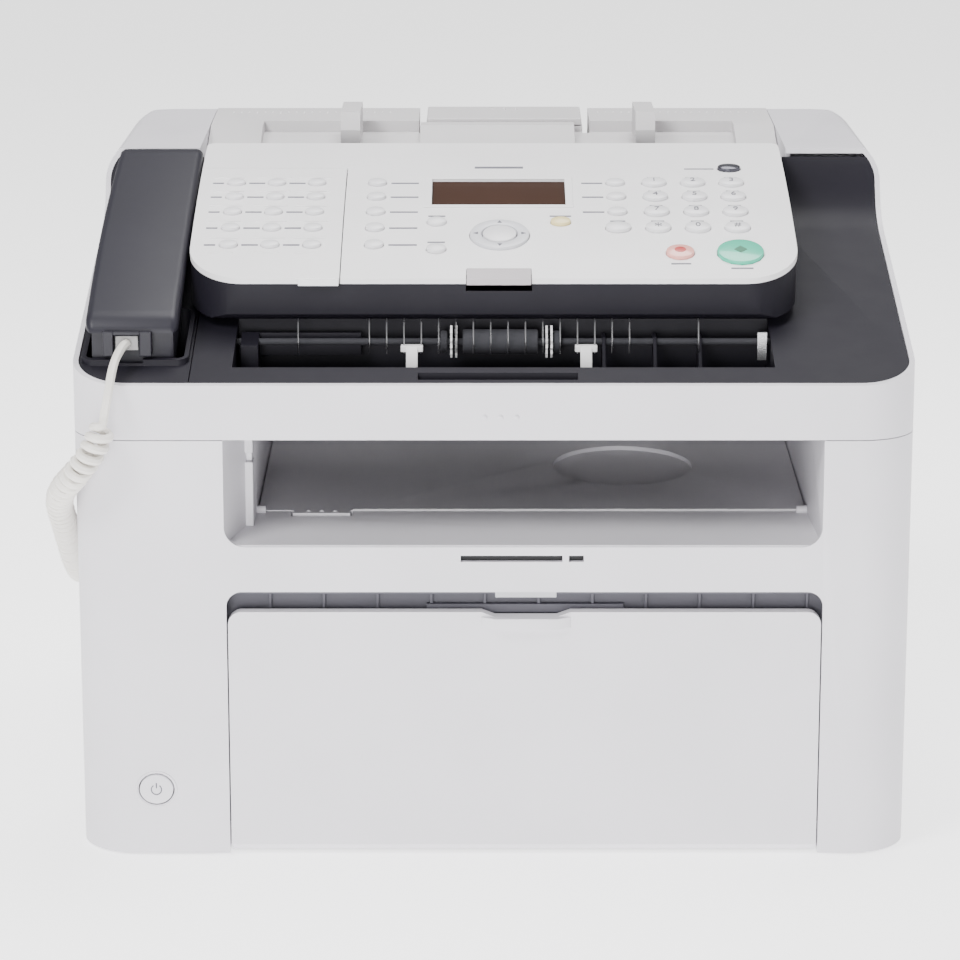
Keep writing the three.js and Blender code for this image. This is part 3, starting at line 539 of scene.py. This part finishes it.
def section(d, top, bottom, left, right, soft_top, soft_bottom, count=7):
    """A rounded outline in X and Z at one distance back."""
    points = []
    corners = ((right, top, -1, -1, soft_top, 0), (left, top, 1, -1, soft_top, 1),
               (left, bottom, 1, 1, soft_bottom, 2), (right, bottom, -1, 1, soft_bottom, 3))
    for x, z, sx, sz, soft, quarter in corners:
        for k in range(count):
            a = (quarter + k / (count - 1)) * math.pi / 2
            across, up = sx * soft, sz * soft
            points.append((x + across + soft * math.cos(a), y_at(d), z + up + soft * math.sin(a)))
    return points


def handset_sides(d):
    """X of the handset's left and right sides."""
    bow = 1.2 * (1 - ((d - HANDSET_MIDDLE) / HANDSET_REACH) ** 2)
    run = d - HANDSET_FRONT
    return -180.9 - bow + run * 0.014, -139.9 - 0.1 * bow + run * 0.006


rings_back, rings_face = [], []
STATIONS = [21.6, 22.2, 23.6, 26, 30, 40, 55, 70, 85, 100, 115, 130, 145, 158, 168, 172.5, 175,
            176.2, 176.6]
for d in STATIONS:
    left, right = handset_sides(d)
    ends = min(d - 21.2, 177 - d)
    drop = 4.2 * max(0, 1 - ends / 5.5) ** 2
    inset = 2.6 * max(0, 1 - ends / 4.5) ** 2
    top = handset_top(d) - drop
    bottom = handset_top(d) - BACK_DEPTH
    soft = min(3.4, (top - bottom) * 0.7)
    rings_back.append(section(d, top, bottom, left + inset, right - inset, soft, 0.2))
FACE_DEPTHS = [(24.6, 24), (25.4, 26.5), (27, 28.5), (30, 30), (45, 30), (60, 30), (64, 28), (68, 20),
               (71, 14.8), (80, 14), (98, 14), (116, 14), (120, 15.2), (125, 19.5), (129, 23), (140, 24),
               (160, 24), (170, 23.6), (173, 21), (173.8, 19)]
for d, deep in FACE_DEPTHS:
    left, right = handset_sides(d)
    top, bottom = handset_top(d) - 6.5, handset_top(d) - deep
    rings_face.append(section(d, top, bottom, left + 2.6, right - 2.4, 0.6, 4))
for rings, part in ((rings_back, "handset_back"), (rings_face, "handset_face")):
    Kit().loft(rings).piece(part + "_shell", "handset", "handset", stands_for=(part,), angle=50)

# hood round the cord's plug at the end of the handset
kit = Kit()
for x0, x1, z0, z1 in ((-173, -168.4, 226.5, 237.6), (-156.8, -151.5, 226.5, 237.6),
                       (-168.6, -156.6, 235.9, 237.6)):
    kit.box(x0, x1, 19.2, 25.2, z0, z1)
kit.piece("plug_hood", "handset", "handset", bevel=0.5)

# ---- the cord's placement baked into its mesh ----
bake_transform(cord)

# ---- document exit trough ----
SHAFT = (53, 226.5)
SHAFT_RADIUS = 1.6
kit = Kit()
steps = [(-117.5, SHAFT_RADIUS)]
for x0, x1, r in ((-24, -21, 5), (-14, 20, 5.6), (27, 30, 5)):
    steps += [(x0 - 0.05, SHAFT_RADIUS), (x0, r - 0.5), (x0 + 0.5, r)]
    steps += [(x1 - 0.5, r), (x1, r - 0.5), (x1 + 0.05, SHAFT_RADIUS)]
steps.append((125.9, SHAFT_RADIUS))
kit.bar(steps, *SHAFT)
kit.piece("exit_roller_turned", "exit_roller", "rubber", stands_for=("exit_roller",))
kit = Kit()
for x in (-19.6, 23.4):
    for k in range(2):
        outline = []
        for i, (c, s) in enumerate(circle(28)):
            r = 7.4 if i % 2 else 6.0
            outline.append((y_at(SHAFT[0]) + r * c, SHAFT[1] + r * s))
        kit.loft([[(x + 2.2 * k + w, y, z) for y, z in outline] for w in (0, 0.9)])
kit.piece("star_wheels", "exit_roller", "panel")
kit = Kit()
whiskers = [-88, *[-56 + 7.8 * i for i in range(16)], 92]
WHISKER = [(50, 237.6), (47, 236.4), (45.6, 232), (45.4, 226), (46, 222.5)]
for x in whiskers:
    kit.tube([(x, y_at(d), z) for d, z in WHISKER], 0.35, 6)
kit.piece("static_brush", "control_panel", "metal")
kit = Kit()
kit.prism([(58.6, 219), (60.6, 219), (60.6, 229.5), (58.6, 229.5)], -112, -60)
for x in (49.6, 72.6, 92.9):
    kit.prism([(36, 208), (60, 208), (60, 229), (50, 229)], x - 0.8, x + 0.8)
kit.prism([(46, 208), (58, 208), (58, 230), (46, 226)], -114, -106)
kit.piece("trough_ribs", "upper_unit", "dark", bevel=0.25)
kit = Kit()
for x in (-36.8, 41.5):
    kit.prism([(38, 215), (41, 214), (46, 222), (46, 226), (43, 226), (38, 218)], x - 2.6, x + 2.6)
    kit.prism([(43, 223.6), (47, 223.6), (47, 226.6), (43, 226.6)], x - 5, x + 5)
kit.piece("paper_levers", "upper_unit", "panel", bevel=0.4)
Kit().prism([(46, 219), (49, 219), (49, 232), (46, 232)], 118.5, 123).piece(
    "trough_bracket", "upper_unit", "metal", bevel=0.3)

# ---- raised dots, button marks and small trim ----
def dots(name, body, look, columns, d, z, turned):
    """A row of small raised dots that tell a hand where to press or pull."""
    kit = Kit()
    for x in columns:
        kit.dome(1.1, 1.1, Matrix.Translation((x, y_at(d), z)) @ turned, -0.4, 0.2, 0.6, 0.15, 20)
    kit.piece(name, body, look)


facing = Matrix.Rotation(math.pi / 2, 4, "X")
upright = Matrix.Identity(4)
dots("band_dots", "upper_unit", "white", (-4, 3, 10), 0, 203.4, facing)
dots("flap_dots", "tray_extension", "tray", (0, 6, 12), 290, 300.05, upright)
dots("tab_dots", "toner_cover", "white", (-84, -78, -72), 42.5, 150, upright)
POWER = Matrix.Translation((-151.8, y_at(0), 31.8)) @ facing
Kit().dome(7.6, 6.9, POWER, -7, 0.4, 0.3, 0.6, 44).piece(
    "power_cap", "power_button", "white", stands_for=("power_button",))
kit = Kit()
LINE = 0.28  # radius of the lines in the power mark
arc = [math.radians(a) for a in range(125, 416, 12)]
kit.tube([POWER @ Vector((2.3 * math.cos(t), 2.3 * math.sin(t), 0.68)) for t in arc], LINE, 6)
kit.tube([POWER @ Vector((0, y, 0.7)) for y in (0.7, 1.8, 3.1)], LINE, 6)
kit.piece("power_mark", "power_button", "ink")
OVAL = Matrix.Diagonal((1, 0.91, 1, 1))
Kit().ring(9.6, 8.4, POWER @ OVAL, -1, 0.35).piece("power_surround", "base", "white")

# ---- paper output: post, plate stops, and the recess under the plate's tab ----
PIN, PIN_D, PIN_Z = 1.9, 44, 150.6
kit = Kit()
kit.box(-116, -107.9, 26, 41, 147, 177)
kit.box(-115.2, -108.4, 28, 41, 177, 181)
kit.box(-116, -107.9, 26, 41, 181, 192)
kit.piece("output_post", "base", "white", bevel=0.6)
kit = Kit()
for x0, x1 in ((-110.5, -103.5), (137.5, 142.3)):
    kit.bar([(x0, PIN), (x1, PIN)], PIN_D, PIN_Z, 20)
kit.piece("plate_stops", "base", "white")
Kit().prism([(38.6, 144.2), (45.8, 144.6), (45.8, 147), (38.6, 147)], -91.6, -64.4).piece(
    "tab_recess", "base", "inner", bevel=0.2)
Kit().prism([(45.7, 147.4), (46.6, 147.4), (46.6, 150.35), (45.7, 150.35)], -64, 141).piece(
    "plate_edge", "toner_cover", "panel", bevel=0.2)

# ---- inside the feed opening, seen over the door ----
kit = Kit()
kit.prism([(12, 101), (16, 101), (16, 134), (12, 134)], -124, 151)
kit.prism([(7, 121), (12, 121), (12, 124), (7, 124)], -118.6, 146)
kit.prism([(8.5, 112), (12, 112), (12, 116), (8.5, 116)], -30, 58)
for x in [-100 + 24 * i for i in range(11)]:
    kit.prism([(10, 101), (12, 101), (12, 121), (9.4, 121)], x - 0.7, x + 0.7)
kit.piece("feed_frame", "base", "inner", bevel=0.3)
kit = Kit()
kit.prism([(6.4, 119.4), (9, 119.4), (9, 122.6), (6.4, 122.6)], 0.5, 28)
kit.piece("feed_catch", "base", "ring", bevel=0.5)
Kit().prism([(3.6, 133), (6, 133), (6, 143), (3.6, 143)], -20, 44).piece(
    "slot_back", "base", "black", bevel=0.2)

# ---- document feed mouth behind the panel ----
MOUTH = [(195, 258), (209.5, 262), (209.5, 276), (206, 276), (204, 267), (195, 262)]
Kit().prism(MOUTH, -138, 138).piece("feed_mouth", "upper_unit", "black", bevel=0.4)
ROLLER = [(-60, 2), (-18.05, 2), (-18, 6.4), (-17.4, 7), (22.6, 7), (23.2, 6.4), (23.25, 2), (64, 2)]
Kit().bar(ROLLER, 201.5, 270).piece("feed_roller", "upper_unit", "rubber")

# ---- paper size marks on the document tray, and the panel plate's finger tab ----
MARK_D = 288  # rear end of the marks


def tray_z(d):
    return 297.5 + (d - 250) * 0.04


kit = Kit()
for x in [*range(-132, -48, 4), *range(54, 138, 4)]:
    start = MARK_D - (4 if x % 12 == 0 else 2.4)
    low, high = tray_z(start), tray_z(MARK_D)
    outline = [(start, low - 0.2), (MARK_D, high - 0.2), (MARK_D, high + 0.25), (start, low + 0.25)]
    kit.prism(outline, x - 0.35, x + 0.35)
kit.piece("size_marks", "upper_unit", "panel")
Kit().prism([(49.4, 252.6), (51.6, 252.6), (51.6, 255.7), (49.8, 255.2)], -88, -69.8).piece(
    "plate_tab", "control_panel", "panel", bevel=0.3)

# ---- mains inlet ----
SHELL = [(288, 22), (300.6, 22), (300.6, 24.6), (291, 24.6), (291, 45.4), (300.6, 45.4), (300.6, 48),
         (288, 48)]
Kit().prism(SHELL, 138, 169).piece("inlet_shell", "base", "black", bevel=0.3)
kit = Kit()
for x, z in ((147, 32), (160, 32), (153.5, 39)):
    kit.prism([(290, z - 1.2), (298, z - 1.2), (298, z + 1.2), (290, z + 1.2)], x - 2, x + 2)
kit.piece("inlet_pins", "base", "metal", bevel=0.4)

# ---- floor and light ----
FLOOR_GLOW = 1.6
WORLD_STRENGTH = 0.5
WHITE = (1, 1, 1, 1)
CORNERS = ((-4000, -3000), (4000, -3000), (4000, 5000), (-4000, 5000))
ground = Kit().loft([[(x, y, z) for x, y in CORNERS] for z in (-20, 0)]).piece("floor", None, "white")
paint = shader("floor_paint", (0.99, 0.99, 0.99), 0.8, grain=300, bump=0.02, tint=0.005)
ground.data.materials[0] = paint
glow = paint.node_tree.nodes["Principled BSDF"]
glow.inputs["Emission Color"].default_value = WHITE
glow.inputs["Emission Strength"].default_value = FLOOR_GLOW
world = bpy.data.worlds.new("studio")
bpy.context.scene.world = world
world.use_nodes = True
sky = world.node_tree.nodes["Background"].inputs
sky["Color"].default_value = WHITE
sky["Strength"].default_value = WORLD_STRENGTH


def light(name, place, target, power, size):
    """A square lamp at a place in metres, turned to face a target."""
    lamp = bpy.data.lights.new(name, "AREA")
    lamp.energy, lamp.size = power, size
    obj = add_object(name, lamp)
    obj.location = place
    obj.rotation_euler = (Vector(target) - Vector(place)).to_track_quat("-Z", "Y").to_euler()


light("key_light", (-0.9, -1.1, 1.6), (0, 0, 0.15), 34, 0.7)
light("top_light", (0.2, 0.4, 1.9), (0, 0, 0.2), 36, 1.1)
light("front_light", (-0.3, -2.3, 0.28), (0, 0, 0.16), 32, 0.7)
light("side_light", (1.7, -0.4, 0.9), (0, 0, 0.15), 4, 0.9)
